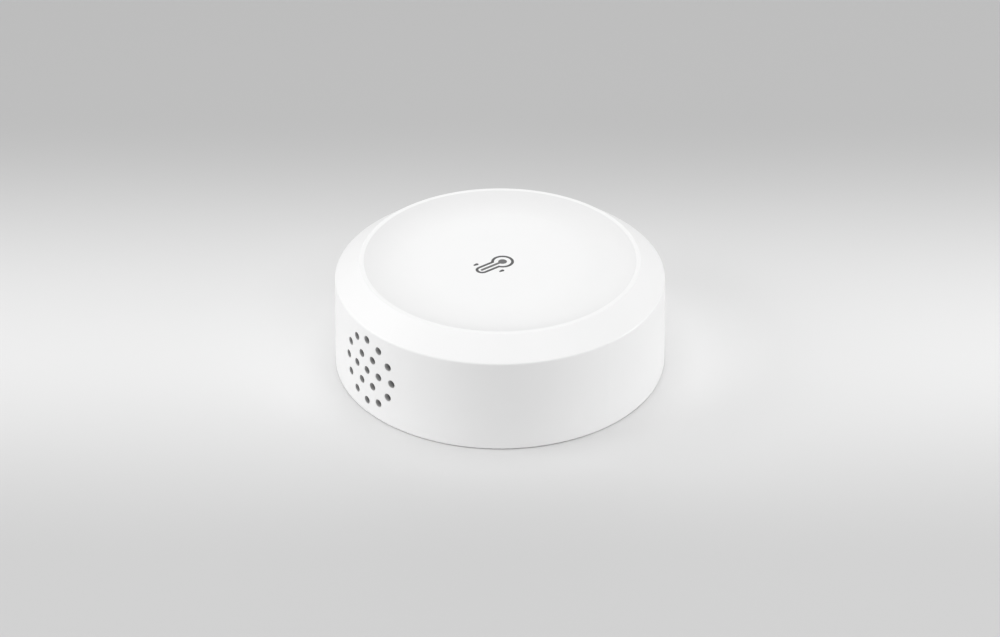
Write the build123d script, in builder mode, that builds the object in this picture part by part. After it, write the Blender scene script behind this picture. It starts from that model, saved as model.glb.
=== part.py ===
from build123d import *
from math import atan2, degrees, hypot, tan
import os

# Temperature and humidity sensor: a round white puck that stands on a shelf. A moulded shell
# with a dished top and a field of round vents holds a tray with two small cells, a round
# circuit board and an upright sensor board. A twist-off base closes it from below.
#
# Lengths are millimetres. +Z is up, the origin is on the table below the middle of the puck,
# and the vents face -Y. Heights end in _z and are measured from the table.

os.makedirs("parts", exist_ok=True)

# Cells: size AAA, two side by side along X
cell_diameter = 10.5
cell_length = 44.5
nub_diameter = 3.8
nub_height = 0.8
nub_edge_radius = 0.25
flat_pole_diameter = 6.8
flat_pole_groove = 0.6
flat_pole_groove_depth = 0.25
cell_gap = 0.3
cell_edge_radius = 0.6

# Contacts and springs
contact_thickness = 0.3
contact_width = 7.0
contact_rise = 3.9
contact_foot_gap = 0.3
dimple_diameter = 3.4
dimple_height = 0.45
dimple_taper = 30
solder_tab_width = 2.0
solder_tab_rise = 0.7
bridge_strip_height = 2.8
spring_length = 3.75
spring_wire = 0.5
spring_foot_radius = 2.9
spring_tip_radius = 1.7
spring_turns = 3

# Shell
wall = 1.8
wall_draft = 0.55
rim_gap = 0.1
dish_depth = 1.15
dish_rim_width = 7.0
lip_width = 0.8
chamfer_width = 4.5
chamfer_rise = 3.34
shoulder_edge_radius = 0.35
lip_edge_radius = 0.3
rim_edge_radius = 0.2

# Vents
vent_diameter = 1.5
vent_ring_pitch = 3.15
vent_ring_counts = [6, 12]
vent_drop = 8.5

# Base, feet and foam
base_recess = 0.2
base_edge_radius = 0.4
foot_diameter = 7.0
foot_edge_radius = 0.2
foot_recess = 0.8
foot_inset = 6.2
foot_gap = 0.1
foot_count = 4
base_thickness = 1.4
base_gap = 0.25
coin_slot_length = 18.0
coin_slot_width = 2.2
coin_slot_depth = 1.0
coin_slot_wall = 1.1
coin_slot_floor = 1.2
foam_thickness = 0.95
foam_gap = 0.15
foam_width = 5.0
foam_length = 32.0
base_rib_width = 0.8
base_rib_rise = 0.7
base_rib_inset = 4.2

# Bayonet: lugs on the base ride on ledges inside the shell wall
bayonet_angles = [90, 210, 330]
ledge_depth = 1.2
ledge_thickness = 1.1
ledge_span = 18
ledge_gap = 0.25
lug_span = 16
lug_thickness = 1.0
lug_gap = 0.15
lug_lead = 0.4
neck_thickness = 1.2
neck_gap = 0.25
stop_span = 1.5
stop_gap = 0.5
base_turn = 18

# Tray
tray_wall = 1.0
tray_plate = 1.2
tray_gap = 0.4
tray_corner_wall = 0.87
tray_over_lugs = 0.6
cell_clearance = 0.2

# Sensor chamber, behind the vents
chamber_inner_width = 16.4
chamber_top_gap = 0.2
sensor_board_setback = 4.6
sensor_board_thickness = 0.8
sensor_board_width = 14.4
sensor_board_gap = 0.1
sensor_board_top_gap = 0.2
thermal_slot_length = 4.0
thermal_slot_width = 0.8
thermal_slot_gap = 0.75
rail_width = 1.6
rail_thickness = 1.0
chip_size = 2.5
chip_thickness = 0.9
chip_window = 1.0

# Boards
board_thickness = 1.0
board_under_gap = 0.6
board_edge_gap = 1.6
board_headroom = 1.85
board_relief = 0.3
header_pin_count = 4
header_pitch = 2.0
header_pin = 0.6
header_hole = 0.9
board_front_gap = 0.4
header_depth = 2.5
header_end = 1.0
header_pin_drop = 1.25
header_pin_inset = 1.25
header_pin_proud = 0.8

# Screws and their bosses
tray_boss_angles = [52, 128, 232, 308]
tray_boss_inset = 4.8
tray_boss_radius = 2.6
tray_screw_length = 6.0
tray_screw_head = 3.6
board_boss_angles = [84, 213.4, 326.6]
board_boss_inset = 3.9
board_boss_radius = 2.2
board_screw_length = 3.2
board_screw_head = 3.8
board_screw_head_height = 1.2
screw_diameter = 1.9
screw_hole_gap = 0.05
screw_pass_gap = 0.2
screw_tip_room = 0.5
cross_length = 2.1
cross_width = 0.5
cross_depth = 0.5
gusset_width = 1.0

# Status light
led_length = 3.2
led_width = 1.6
led_height = 0.8
guide_diameter = 3.0
guide_gap = 0.05
guide_fit = 0.1
guide_pocket = 0.75
guide_collar_wall = 0.9
guide_collar_drop = 0.65

# Radio module
radio_x = -4.25
radio_length = 12.5
radio_width = 9.0
radio_board = 0.8
radio_from_bay = 0.8
castellation_diameter = 0.6
castellation_pitch = 1.27
castellation_count = 6
shield_length = 8.6
shield_width = 8.0
shield_height = 2.0
shield_sheet = 0.2
shield_edge_radius = 0.6

# Small parts on the upper face of the board
chip_row_x = -13.0
chip_row_y = 9.5
chip_row_pitch = 2.0
chip_row_count = 6
small_chip_length = 1.6
small_chip_width = 0.8
small_chip_height = 0.8
driver_chip_size = 5.0
driver_chip_height = 0.9
driver_chip_x = -12.0
capacitor_length = 3.5
capacitor_width = 2.8
capacitor_height = 1.6
capacitor_x = 12.0

# Pairing switch and button
switch_x = 6.5
switch_from_bay = 2.65
switch_size = 6.0
switch_height = 3.5
switch_edge = 0.3
stem_diameter = 3.5
stem_length = 3.5
stem_gap = 0.05
stem_seat = 0.6
stem_seat_room = 0.6
button_diameter = 4.2
button_gap = 0.15
button_flange = 6.4
button_flange_thickness = 0.8
button_rest_gap = 0.2
button_below_tray = 0.5
button_neck = 3.0
button_edge_radius = 0.4

# Worked out from the values above: the cell bay
cell_radius = cell_diameter / 2
cell_y = (cell_diameter + cell_gap) / 2
vault_radius = cell_radius + cell_clearance
bay_half_width = cell_y + vault_radius
bay_outer_y = bay_half_width + tray_wall
bay_half_length = (dimple_height + cell_length + spring_length) / 2 + contact_thickness
contact_face_x = bay_half_length - contact_thickness
cell_tip_x = contact_face_x - dimple_height
cell_end_x = cell_tip_x - cell_length

# Radii from the bay outwards
tray_radius = hypot(bay_half_length, bay_half_width) + tray_corner_wall
inner_radius = tray_radius + tray_gap
shell_radius = inner_radius + wall
foot_radius = shell_radius + wall_draft
lip_radius = shell_radius - chamfer_width
dish_edge_radius = lip_radius - lip_width
dish_flat_radius = dish_edge_radius - dish_rim_width
base_radius = inner_radius - base_gap
ledge_inner_radius = inner_radius - ledge_depth
board_radius = inner_radius - board_edge_gap
tray_boss_circle = inner_radius - tray_boss_inset
board_boss_circle = inner_radius - board_boss_inset
foot_circle = inner_radius - foot_inset

# Heights from the table upwards
rim_z = rim_gap
base_z = rim_z + base_recess
base_top_z = base_z + base_thickness
ledge_z = base_top_z + ledge_gap
ledge_top_z = ledge_z + ledge_thickness
lug_z = ledge_top_z + lug_gap
lug_top_z = lug_z + lug_thickness
tray_z = lug_top_z + tray_over_lugs
tray_top_z = tray_z + tray_plate
cell_z = base_top_z + foam_thickness + foam_gap + cell_radius
vault_top_z = cell_z + vault_radius + tray_wall
board_z = vault_top_z + board_under_gap
board_top_z = board_z + board_thickness
ceiling_z = board_top_z + board_headroom
dish_z = ceiling_z + wall
lip_z = dish_z + dish_depth
shoulder_z = lip_z - chamfer_rise
vent_z = shoulder_z - vent_drop

# Inside of the shell, one wall away from the outside
chamfer_angle = atan2(chamfer_rise, chamfer_width)
inner_shoulder_z = shoulder_z - wall * tan((atan2(1, 0) - chamfer_angle) / 2)
inner_rim_z = lip_z - wall
inner_rim_radius = inner_radius - (inner_rim_z - inner_shoulder_z) / tan(chamfer_angle)

# Places behind the vents and around the button
chamber_half_width = chamber_inner_width / 2
chamber_top_z = board_z - chamber_top_gap
sensor_front_y = -(inner_radius - sensor_board_setback)
sensor_back_y = sensor_front_y + sensor_board_thickness
sensor_top_z = board_z - sensor_board_top_gap
board_front_y = sensor_back_y + board_front_gap
header_pin_y = sensor_back_y + header_pin_inset
header_pin_z = board_z - header_pin_drop
radio_y = bay_outer_y + radio_from_bay + radio_width / 2
shield_x = radio_x - (radio_length - shield_length) / 2 + shield_sheet
switch_y = bay_outer_y + switch_from_bay + switch_size / 2
switch_z = board_z - switch_height
stem_z = switch_z - stem_length
button_z = tray_z - button_below_tray
flange_z = tray_top_z + button_rest_gap
guide_top_z = ceiling_z + guide_pocket


def draw_ring_sector(inner, outer, centre_angle, span):
    """Draw a sector of a flat ring in the open sketch, centred on an angle in degrees."""
    start_angle = centre_angle - span / 2
    with BuildLine() as sector:
        inner_arc = CenterArc((0, 0), inner, start_angle, span)
        outer_arc = CenterArc((0, 0), outer, start_angle, span)
        Line(inner_arc @ 0, outer_arc @ 0)
        Line(inner_arc @ 1, outer_arc @ 1)
    make_face(sector.edges())


def ring_places(radius, angles):
    """Points on a circle about the origin, at angles in degrees."""
    return [(Vector(radius, 0).rotate(Axis.Z, angle).X,
             Vector(radius, 0).rotate(Axis.Z, angle).Y) for angle in angles]


tray_boss_places = ring_places(tray_boss_circle, tray_boss_angles)
board_boss_places = ring_places(board_boss_circle, board_boss_angles)

# Room inside the shell. What stays standing in it is cut away from the room: the bosses,
# the gussets, the light guide's collar and the bayonet's ledges and stops
with BuildPart() as shell_room:
    with BuildSketch(Plane.XZ):
        with BuildLine():
            ceiling = Line((0, ceiling_z), (dish_flat_radius, ceiling_z))
            ceiling_rim = TangentArc(ceiling @ 1, (inner_rim_radius, inner_rim_z), tangent=(1, 0))
            Polyline(ceiling_rim @ 1, (inner_radius, inner_shoulder_z), (inner_radius, rim_z),
                     (0, rim_z), (0, ceiling_z))
        make_face()
    revolve(axis=Axis.Z)

    # Four tall bosses for the tray, each tied to the wall by a gusset
    with BuildSketch(Plane.XY.offset(tray_top_z)):
        with Locations(*tray_boss_places):
            Circle(tray_boss_radius)
    extrude(amount=lip_z - tray_top_z, mode=Mode.SUBTRACT)
    with BuildSketch(Plane.XY.offset(tray_top_z + tray_plate)):
        for angle in tray_boss_angles:
            with Locations(Rot(Z=angle) * Pos(X=tray_boss_circle)):
                Rectangle(tray_boss_inset + wall, gusset_width, align=(Align.MIN, Align.CENTER))
    extrude(amount=lip_z - tray_top_z - tray_plate, mode=Mode.SUBTRACT)

    # Three short bosses for the main board, and the collar of the light guide
    with BuildSketch(Plane.XY.offset(board_top_z)):
        with Locations(*board_boss_places):
            Circle(board_boss_radius)
    extrude(amount=lip_z - board_top_z, mode=Mode.SUBTRACT)
    with BuildSketch(Plane.XY.offset(ceiling_z - guide_collar_drop)):
        Circle(guide_diameter / 2 + guide_fit + guide_collar_wall)
    extrude(amount=guide_collar_drop, mode=Mode.SUBTRACT)

    # Bayonet ledges, each with a stop where the lug is locked and one where it is free
    locked_stop = lug_span / 2 + stop_gap + stop_span / 2
    free_stop = base_turn + locked_stop
    for angle in bayonet_angles:
        with BuildSketch(Plane.XY.offset(ledge_z)):
            draw_ring_sector(ledge_inner_radius, shell_radius, angle, ledge_span)
        extrude(amount=ledge_thickness, mode=Mode.SUBTRACT)
        for stop_angle in (angle + locked_stop, angle - free_stop):
            with BuildSketch(Plane.XY.offset(ledge_z)):
                draw_ring_sector(ledge_inner_radius, shell_radius, stop_angle, stop_span)
            extrude(amount=lug_top_z - ledge_z, mode=Mode.SUBTRACT)

# Top shell: wall, chamfer, lip and dished top in one turned section. The wall leans out a
# little towards its rim, so that the shell leaves the mould
with BuildPart() as top_shell:
    with BuildSketch(Plane.XZ):
        with BuildLine():
            dish_floor = Line((0, dish_z), (dish_flat_radius, dish_z))
            dish_rim = TangentArc(dish_floor @ 1, (dish_edge_radius, lip_z), tangent=(1, 0))
            Polyline(dish_rim @ 1, (lip_radius, lip_z), (shell_radius, shoulder_z),
                     (foot_radius, rim_z), (0, rim_z), (0, dish_z))
        make_face()
    revolve(axis=Axis.Z)

    circles = top_shell.edges().filter_by(GeomType.CIRCLE)
    lip_edges = circles.filter_by_position(Axis.Z, lip_z, lip_z)
    shoulder_edges = circles.filter_by_position(Axis.Z, shoulder_z, shoulder_z)
    rim_edges = circles.filter_by_position(Axis.Z, rim_z, rim_z)
    fillet(lip_edges.sort_by(SortBy.RADIUS)[-1], radius=lip_edge_radius)
    fillet(shoulder_edges, radius=shoulder_edge_radius)
    fillet(rim_edges, radius=rim_edge_radius)
    add(shell_room.part, mode=Mode.SUBTRACT)

    # Nineteen vents, drawn by straight pins from the front
    with BuildSketch(Plane.XZ.offset(foot_radius)):
        with Locations((0, vent_z)):
            Circle(vent_diameter / 2)
            for ring, count in enumerate(vent_ring_counts, start=1):
                with PolarLocations(vent_ring_pitch * ring, count):
                    Circle(vent_diameter / 2)
    extrude(amount=inner_radius - sensor_board_setback / 2 - foot_radius, mode=Mode.SUBTRACT)

    # Screw holes in the bosses, and the pocket that leaves a thin skin over the light guide
    with BuildSketch(Plane.XY.offset(tray_top_z)):
        with Locations(*tray_boss_places):
            Circle(screw_diameter / 2 + screw_hole_gap)
    extrude(amount=tray_screw_length + screw_tip_room - tray_plate, mode=Mode.SUBTRACT)
    with BuildSketch(Plane.XY.offset(board_top_z)):
        with Locations(*board_boss_places):
            Circle(screw_diameter / 2 + screw_hole_gap)
    extrude(amount=board_screw_length + screw_tip_room - board_thickness, mode=Mode.SUBTRACT)
    with BuildSketch(Plane.XY.offset(ceiling_z - guide_collar_drop)):
        Circle(guide_diameter / 2 + guide_fit)
    extrude(amount=guide_collar_drop + guide_pocket, mode=Mode.SUBTRACT)
top_shell.part.label = "top_shell"
export_step(top_shell.part, "parts/top_shell.step")

# Base cover: a disc with a coin slot below and three bayonet lugs above
with BuildPart() as base_cover:
    with BuildSketch(Plane.XY.offset(base_z)):
        Circle(base_radius)
    extrude(amount=base_thickness)
    fillet(base_cover.edges().sort_by(Axis.Z)[0], radius=base_edge_radius)

    neck_outer = ledge_inner_radius - neck_gap
    neck_inner = neck_outer - neck_thickness
    for angle in bayonet_angles:
        with BuildSketch(Plane.XY.offset(base_top_z)):
            draw_ring_sector(neck_inner, neck_outer, angle, lug_span)
        extrude(amount=lug_top_z - base_top_z)
        with BuildSketch(Plane.XY.offset(lug_z)):
            draw_ring_sector(neck_inner, base_radius, angle, lug_span)
        extrude(amount=lug_thickness)
    lug_ends = base_cover.edges().filter_by(GeomType.LINE).filter_by_position(Axis.Z, lug_z, lug_z)
    chamfer(lug_ends, length=lug_lead)

    # Ribs stiffen the disc: a ring inside the necks, and the thick floor of the coin slot
    rib_radius = inner_radius - base_rib_inset
    with BuildSketch(Plane.XY.offset(base_top_z)):
        Circle(rib_radius)
        Circle(rib_radius - base_rib_width, mode=Mode.SUBTRACT)
    extrude(amount=base_rib_rise)
    slot_top_z = base_z + coin_slot_depth + coin_slot_floor
    with BuildSketch(Plane.XY.offset(base_top_z)):
        SlotOverall(coin_slot_length + 2 * coin_slot_wall, coin_slot_width + 2 * coin_slot_wall)
    extrude(amount=slot_top_z - base_top_z)
    with BuildSketch(Plane.XY.offset(base_z)):
        SlotOverall(coin_slot_length, coin_slot_width)
    extrude(amount=coin_slot_depth, mode=Mode.SUBTRACT)
    with BuildSketch(Plane.XY.offset(base_z)):
        with PolarLocations(foot_circle, foot_count, start_angle=180 / foot_count):
            Circle(foot_diameter / 2 + foot_gap)
    extrude(amount=foot_recess, mode=Mode.SUBTRACT)
base_cover.part.label = "base_cover"
export_step(base_cover.part, "parts/base_cover.step")

# Rubber feet, seated in the recesses of the base
with BuildPart() as foot_pads:
    with BuildSketch(Plane.XY):
        with PolarLocations(foot_circle, foot_count, start_angle=180 / foot_count):
            Circle(foot_diameter / 2)
    extrude(amount=base_z + foot_recess)
    fillet(foot_pads.edges().filter_by_position(Axis.Z, 0, 0), radius=foot_edge_radius)
foot_pads.part.label = "foot_pads"
export_step(foot_pads.part, "parts/foot_pads.step")

# Foam strips on the base, one below each cell
with BuildPart() as battery_foam:
    with BuildSketch(Plane.XY.offset(base_top_z)):
        with Locations((0, cell_y), (0, -cell_y)):
            RectangleRounded(foam_length, foam_width, foam_width / 8)
    extrude(amount=foam_thickness)
battery_foam.part.label = "battery_foam"
export_step(battery_foam.part, "parts/battery_foam.step")

# Battery tray: a plate with two vaults for the cells and an open-fronted sensor chamber
with BuildPart() as battery_tray:
    with BuildSketch(Plane.XY.offset(tray_z)):
        Circle(tray_radius)
    extrude(amount=tray_plate)
    with BuildSketch(Plane.YZ.offset(-bay_half_length - tray_wall)):
        with Locations((-cell_y, cell_z), (cell_y, cell_z)):
            Circle(vault_radius + tray_wall)
        with Locations((0, tray_z)):
            Rectangle(2 * bay_outer_y, cell_z - tray_z, align=(Align.CENTER, Align.MIN))
    extrude(amount=2 * (bay_half_length + tray_wall))

    # Chamber walls run from the bay to the shell, with rails for the sensor board
    with BuildSketch(Plane.XY.offset(tray_z)):
        wall_x = chamber_half_width + tray_wall / 2
        with Locations((-wall_x, -bay_outer_y), (wall_x, -bay_outer_y)):
            Rectangle(tray_wall, tray_radius - bay_outer_y, align=(Align.CENTER, Align.MAX))
    extrude(amount=chamber_top_z - tray_z)
    with BuildSketch(Plane.XY.offset(tray_z)):
        rail_x = chamber_half_width - rail_width / 2
        front_rail_y = sensor_front_y - sensor_board_gap - rail_thickness / 2
        back_rail_y = sensor_back_y + sensor_board_gap + rail_thickness / 2
        with Locations((-rail_x, front_rail_y), (rail_x, front_rail_y),
                       (-rail_x, back_rail_y), (rail_x, back_rail_y)):
            Rectangle(rail_width, rail_thickness)
    extrude(amount=header_pin_z - tray_z)
    with BuildSketch(Plane.XY.offset(tray_z)):
        Circle(tray_radius)
    extrude(amount=board_z - tray_z, mode=Mode.INTERSECT)

    # The bay: straight sides below the cell axes, half-round vaults above them
    with BuildSketch(Plane.YZ.offset(-bay_half_length)):
        with Locations((-cell_y, cell_z), (cell_y, cell_z)):
            Circle(vault_radius)
        with Locations((0, tray_z)):
            Rectangle(2 * bay_half_width, cell_z - tray_z, align=(Align.CENTER, Align.MIN))
    extrude(amount=2 * bay_half_length, mode=Mode.SUBTRACT)

    # Air gap in the plate in front of the sensor board
    air_gap_y = front_rail_y - rail_thickness / 2
    with BuildSketch(Plane.XY.offset(tray_z)):
        with Locations((0, air_gap_y)):
            Rectangle(chamber_inner_width, tray_radius, align=(Align.CENTER, Align.MAX))
    extrude(amount=tray_plate, mode=Mode.SUBTRACT)

    # Countersunk screw holes, the button's guide and the slots for the solder tabs
    with Locations(Plane(origin=(0, 0, tray_z), x_dir=(1, 0, 0), z_dir=(0, 0, -1))):
        with Locations(*[(x, -y) for x, y in tray_boss_places]):
            CounterSinkHole(screw_diameter / 2 + screw_pass_gap,
                            tray_screw_head / 2 + screw_hole_gap,
                            depth=tray_plate, counter_sink_angle=90)
    with BuildSketch(Plane.XY.offset(tray_z)):
        with Locations((switch_x, switch_y)):
            Circle(button_diameter / 2 + button_gap)
    extrude(amount=tray_plate, mode=Mode.SUBTRACT)
    with BuildSketch(Plane.XY.offset(cell_z)):
        with Locations((contact_face_x, cell_y), (contact_face_x, -cell_y)):
            Rectangle(contact_thickness + cell_clearance, solder_tab_width + 2 * cell_clearance,
                      align=(Align.MIN, Align.CENTER))
    extrude(amount=board_z - cell_z, mode=Mode.SUBTRACT)
battery_tray.part.label = "battery_tray"
export_step(battery_tray.part, "parts/battery_tray.step")

# Cells, nub to +X in one and to -X in the other
with BuildPart() as battery_a:
    with BuildSketch(Plane.YZ.offset(cell_end_x)):
        with Locations((cell_y, cell_z)):
            Circle(cell_radius)
    extrude(amount=cell_length - nub_height)
    fillet(battery_a.edges().filter_by(GeomType.CIRCLE), radius=cell_edge_radius)
    with BuildSketch(Plane.YZ.offset(cell_tip_x - nub_height)):
        with Locations((cell_y, cell_z)):
            Circle(nub_diameter / 2)
    extrude(amount=nub_height)
    fillet(battery_a.edges().sort_by(Axis.X)[-1], radius=nub_edge_radius)

    # A groove sets off the flat pole
    with BuildSketch(Plane.YZ.offset(cell_end_x)):
        with Locations((cell_y, cell_z)):
            Circle(flat_pole_diameter / 2 + flat_pole_groove)
            Circle(flat_pole_diameter / 2, mode=Mode.SUBTRACT)
    extrude(amount=flat_pole_groove_depth, mode=Mode.SUBTRACT)
battery_a.part.label = "battery_a"
export_step(battery_a.part, "parts/battery_a.step")

with BuildPart() as battery_b:
    add(battery_a.part.rotate(Axis.Z, 180))
battery_b.part.label = "battery_b"
export_step(battery_b.part, "parts/battery_b.step")


def add_contact_blade(face_plane, y):
    """Add one upright contact plate to the open part, its front on the given plane."""
    with BuildSketch(face_plane) as blade:
        with Locations((y, tray_z + contact_foot_gap)):
            Rectangle(contact_width, cell_z + contact_rise - tray_z - contact_foot_gap,
                      align=(Align.CENTER, Align.MIN))
    extrude(blade.sketch, amount=contact_thickness)


def add_solder_tab(y):
    """Add the narrow tab that rises through the tray and the main board."""
    with BuildSketch(Plane.YZ.offset(contact_face_x)) as tab:
        with Locations((y, cell_z)):
            Rectangle(solder_tab_width, board_top_z + solder_tab_rise - cell_z,
                      align=(Align.CENTER, Align.MIN))
    extrude(tab.sketch, amount=contact_thickness)


def press_dimple(front_x, y, direction):
    """Press a round dimple out of a contact plate towards the cell's nub."""
    front = Plane(origin=(front_x, y, cell_z), x_dir=(0, 1, 0), z_dir=(direction, 0, 0))
    for plane, mode in ((front, Mode.ADD), (front.offset(-contact_thickness), Mode.SUBTRACT)):
        with BuildSketch(plane) as dimple:
            Circle(dimple_diameter / 2)
        extrude(dimple.sketch, amount=dimple_height, taper=dimple_taper, mode=mode)


def wind_spring(plate_x, y, direction):
    """Wind a conical spring from a contact plate to the flat end of a cell."""
    winding = spring_length - spring_wire
    taper = degrees(atan2(spring_foot_radius - spring_tip_radius, winding))
    start = (plate_x + direction * spring_wire / 2, y, cell_z)
    with BuildLine() as coil:
        Helix(winding / spring_turns, winding, spring_foot_radius, center=start,
              direction=(direction, 0, 0), cone_angle=-taper)
    with BuildSketch(Plane(origin=coil.line @ 0, z_dir=coil.line % 0)) as wire_section:
        Circle(spring_wire / 2)
    sweep(wire_section.sketch, path=coil.line, is_frenet=True)


with BuildPart() as positive_contact:
    add_contact_blade(Plane.YZ.offset(contact_face_x), cell_y)
    add_solder_tab(cell_y)
    press_dimple(contact_face_x, cell_y, -1)
positive_contact.part.label = "positive_contact"
export_step(positive_contact.part, "parts/positive_contact.step")

with BuildPart() as negative_contact:
    add_contact_blade(Plane.YZ.offset(contact_face_x), -cell_y)
    add_solder_tab(-cell_y)
negative_contact.part.label = "negative_contact"
export_step(negative_contact.part, "parts/negative_contact.step")

with BuildPart() as negative_spring:
    wind_spring(contact_face_x, -cell_y, -1)
negative_spring.part.label = "negative_spring"
export_step(negative_spring.part, "parts/negative_spring.step")

# The bridge joins both cells at the far end
with BuildPart() as bridge_contact:
    add_contact_blade(Plane.YZ.offset(-bay_half_length), cell_y)
    add_contact_blade(Plane.YZ.offset(-bay_half_length), -cell_y)
    with BuildSketch(Plane.YZ.offset(-bay_half_length)):
        with Locations((0, tray_z + contact_foot_gap)):
            Rectangle(2 * cell_y, bridge_strip_height, align=(Align.CENTER, Align.MIN))
    extrude(amount=contact_thickness)
    press_dimple(-contact_face_x, -cell_y, 1)
bridge_contact.part.label = "bridge_contact"
export_step(bridge_contact.part, "parts/bridge_contact.step")

with BuildPart() as bridge_spring:
    wind_spring(-contact_face_x, cell_y, 1)
bridge_spring.part.label = "bridge_spring"
export_step(bridge_spring.part, "parts/bridge_spring.step")

# Screws that hold the tray, heads flush in the plate
with BuildPart() as tray_screw:
    with BuildSketch(Plane.XZ):
        with BuildLine():
            head_foot_z = tray_z + (tray_screw_head - screw_diameter) / 2
            tip_z = tray_z + tray_screw_length
            Polyline((0, tray_z), (tray_screw_head / 2, tray_z), (screw_diameter / 2, head_foot_z),
                     (screw_diameter / 2, tip_z - screw_diameter / 2), (0, tip_z), (0, tray_z))
        make_face()
    revolve(axis=Axis.Z)
    with BuildSketch(Plane.XY.offset(tray_z)):
        Rectangle(cross_length, cross_width)
        Rectangle(cross_width, cross_length)
    extrude(amount=cross_depth, mode=Mode.SUBTRACT)

with BuildPart() as tray_screws:
    with Locations(*tray_boss_places):
        add(tray_screw.part)
tray_screws.part.label = "tray_screws"
export_step(tray_screws.part, "parts/tray_screws.step")

# Main board: round, cut back at the vents, relieved around the tray's bosses
with BuildPart() as main_board:
    with BuildSketch(Plane.XY.offset(board_z)):
        Circle(board_radius)
        with Locations((0, board_front_y)):
            Rectangle(chamber_inner_width + 2 * tray_wall, board_radius,
                      align=(Align.CENTER, Align.MAX), mode=Mode.SUBTRACT)
        for x, y in tray_boss_places:
            outward = Vector(x, y).normalized() * tray_boss_inset
            SlotCenterPoint((x, y), (x + outward.X, y + outward.Y),
                            2 * (tray_boss_radius + board_relief), mode=Mode.SUBTRACT)
        with Locations(*board_boss_places):
            Circle(screw_diameter / 2 + screw_pass_gap, mode=Mode.SUBTRACT)
        with Locations((contact_face_x + contact_thickness / 2, cell_y),
                       (contact_face_x + contact_thickness / 2, -cell_y)):
            Rectangle(contact_thickness + cell_clearance, solder_tab_width + cell_clearance,
                      mode=Mode.SUBTRACT)
        with Locations((0, header_pin_y)):
            with GridLocations(header_pitch, 0, header_pin_count, 1):
                Circle(header_hole / 2, mode=Mode.SUBTRACT)
    extrude(amount=board_thickness)
main_board.part.label = "main_board"
export_step(main_board.part, "parts/main_board.step")

# Screws that hold the board against the short bosses
with BuildPart() as board_screw:
    with BuildSketch(Plane.XZ):
        with BuildLine():
            head_z = board_z - board_screw_head_height
            tip_z = board_z + board_screw_length
            Polyline((0, head_z), (board_screw_head / 2, head_z), (board_screw_head / 2, board_z),
                     (screw_diameter / 2, board_z), (screw_diameter / 2, tip_z - screw_diameter / 2),
                     (0, tip_z), (0, head_z))
        make_face()
    revolve(axis=Axis.Z)
    fillet(board_screw.edges().sort_by(Axis.Z)[0], radius=board_screw_head_height / 2)
    with BuildSketch(Plane.XY.offset(head_z)):
        Rectangle(cross_length, cross_width)
        Rectangle(cross_width, cross_length)
    extrude(amount=cross_depth, mode=Mode.SUBTRACT)

with BuildPart() as board_screws:
    with Locations(*board_boss_places):
        add(board_screw.part)
board_screws.part.label = "board_screws"
export_step(board_screws.part, "parts/board_screws.step")

# Radio module below the board, soldered by its notched edges, with its shield can
with BuildPart() as radio_module:
    with BuildSketch(Plane.XY.offset(board_z - radio_board)):
        with Locations((radio_x, radio_y)):
            Rectangle(radio_length, radio_width)
        with Locations((shield_x, radio_y)):
            with GridLocations(castellation_pitch, radio_width, castellation_count, 2):
                Circle(castellation_diameter / 2, mode=Mode.SUBTRACT)
    extrude(amount=radio_board)
radio_module.part.label = "radio_module"
export_step(radio_module.part, "parts/radio_module.step")

with BuildPart() as radio_shield:
    with BuildSketch(Plane.XY.offset(board_z - radio_board - shield_height)):
        with Locations((shield_x, radio_y)):
            RectangleRounded(shield_length, shield_width, shield_edge_radius)
    extrude(amount=shield_height)
    with BuildSketch(Plane.XY.offset(board_z - radio_board - shield_height + shield_sheet)):
        with Locations((shield_x, radio_y)):
            RectangleRounded(shield_length - 2 * shield_sheet, shield_width - 2 * shield_sheet,
                             shield_edge_radius - shield_sheet)
    extrude(amount=shield_height - shield_sheet, mode=Mode.SUBTRACT)
radio_shield.part.label = "radio_shield"
export_step(radio_shield.part, "parts/radio_shield.step")

# Parts on the upper face of the board
with BuildPart() as board_chips:
    with BuildSketch(Plane.XY.offset(board_top_z)):
        with Locations((driver_chip_x, 0)):
            Rectangle(driver_chip_size, driver_chip_size)
    extrude(amount=driver_chip_height)
    chamfer(board_chips.faces().sort_by(Axis.Z)[-1].edges(), length=driver_chip_height / 6)
    with BuildSketch(Plane.XY.offset(board_top_z)):
        for row_y in (-chip_row_y, chip_row_y):
            with Locations((chip_row_x, row_y)):
                with GridLocations(chip_row_pitch, 0, chip_row_count, 1):
                    Rectangle(small_chip_width, small_chip_length)
    extrude(amount=small_chip_height)
board_chips.part.label = "board_chips"
export_step(board_chips.part, "parts/board_chips.step")

with BuildPart() as board_capacitor:
    with BuildSketch(Plane.XY.offset(board_top_z)):
        with Locations((capacitor_x, 0)):
            Rectangle(capacitor_length, capacitor_width)
    extrude(amount=capacitor_height)
    chamfer(board_capacitor.faces().sort_by(Axis.Z)[-1].edges(), length=capacitor_height / 8)
board_capacitor.part.label = "board_capacitor"
export_step(board_capacitor.part, "parts/board_capacitor.step")

# Status light and the guide that carries it up to the skin of the dish
with BuildPart() as indicator_led:
    with BuildSketch(Plane.XY.offset(board_top_z)):
        Rectangle(led_length, led_width)
    extrude(amount=led_height)
    chamfer(indicator_led.faces().sort_by(Axis.Z)[-1].edges(), length=led_height / 6)
indicator_led.part.label = "indicator_led"
export_step(indicator_led.part, "parts/indicator_led.step")

with BuildPart() as light_guide:
    with BuildSketch(Plane.XY.offset(board_top_z + led_height + guide_gap)):
        Circle(guide_diameter / 2)
    extrude(amount=guide_top_z - board_top_z - led_height - guide_gap)
    chamfer(light_guide.edges().sort_by(Axis.Z)[0], length=guide_fit)
light_guide.part.label = "light_guide"
export_step(light_guide.part, "parts/light_guide.step")

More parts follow.
